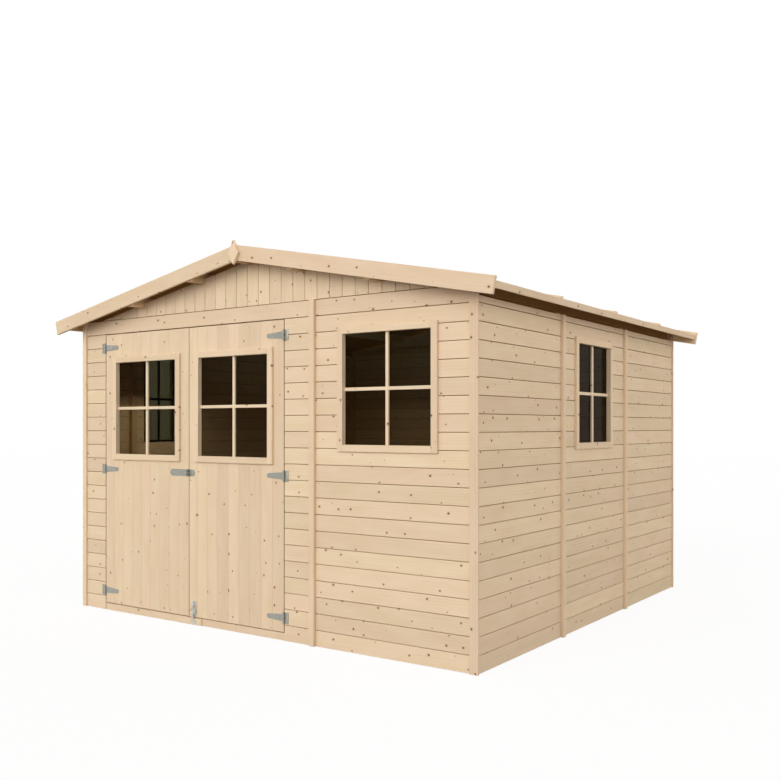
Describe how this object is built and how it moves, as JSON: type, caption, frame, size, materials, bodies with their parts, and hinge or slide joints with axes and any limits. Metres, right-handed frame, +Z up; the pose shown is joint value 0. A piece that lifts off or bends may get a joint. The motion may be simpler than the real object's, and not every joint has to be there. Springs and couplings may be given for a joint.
{
  "type": "wooden garden shed",
  "caption": "Wooden garden shed with clapboard walls, a low gabled board roof, a pair of hinged glazed doors with strap hinges, windows, a padlock clasp and a foot bolt.",
  "frame": {"origin": "on the ground, under the middle of the plan", "axes": "+X to the right seen from the front, along the width; +Y from the front to the back; +Z up"},
  "size_m": [3.317, 3.202, 2.2496],
  "materials": {
    "cladding": "planed bare spruce",
    "trim": "planed bare spruce",
    "roof": "planed bare spruce",
    "floor": "planed bare spruce",
    "steel": "bright zinc plated",
    "glass": "tinted bronze"
  },
  "bodies": {
    "shed": {"floor_bearers": "floor", "floor_boards": "floor", "door_sill": "floor", "kick_board": "trim", "wall_studs": "cladding", "side_plates": "cladding", "end_plates": "cladding", "front_wall_beside_door": "cladding", "front_wall_header": "cladding", "front_wall_window": "cladding", "front_gable": "cladding", "right_wall_plain": "cladding", "right_wall_window": "cladding", "left_wall_plain": "cladding", "left_wall_window": "cladding", "back_wall": "cladding", "back_gable": "cladding", "corner_trims": "trim", "cover_battens": "trim", "window_frames": "trim", "window_glass": "glass", "purlins": "cladding", "roof_deck_left": "roof", "roof_deck_right": "roof", "roof_battens": "roof", "eave_strips": "trim", "barge_boards_left": "trim", "barge_boards_right": "trim", "finials": "trim", "hinge_plates": "steel", "bolt_keeper": "steel"},
    "left_door": {"left_door_boards": "cladding", "left_door_ledges": "cladding", "left_door_window_frame": "trim", "left_door_glass": "glass", "left_door_hinge_straps": "steel", "left_door_padlock_plate": "steel"},
    "right_door": {"right_door_boards": "cladding", "right_door_ledges": "cladding", "right_door_window_frame": "trim", "right_door_glass": "glass", "right_door_hinge_straps": "steel", "right_door_padlock_plate": "steel", "right_door_bolt_guide": "steel"},
    "bolt": {"bolt_rod": "steel"}
  },
  "joints": [
    {"name": "left_door_hinge", "type": "hinge", "parent": "shed", "child": "left_door", "pos_m": [-1.283, -1.473, 0], "axis": [0, 0, -1], "range_deg": [0, 160]},
    {"name": "right_door_hinge", "type": "hinge", "parent": "shed", "child": "right_door", "pos_m": [0.266, -1.473, 0], "axis": [0, 0, 1], "range_deg": [0, 160]},
    {"name": "bolt_slide", "type": "slide", "parent": "right_door", "child": "bolt", "axis": [0, 0, 1], "range_m": [-0.025, 0]}
  ]
}
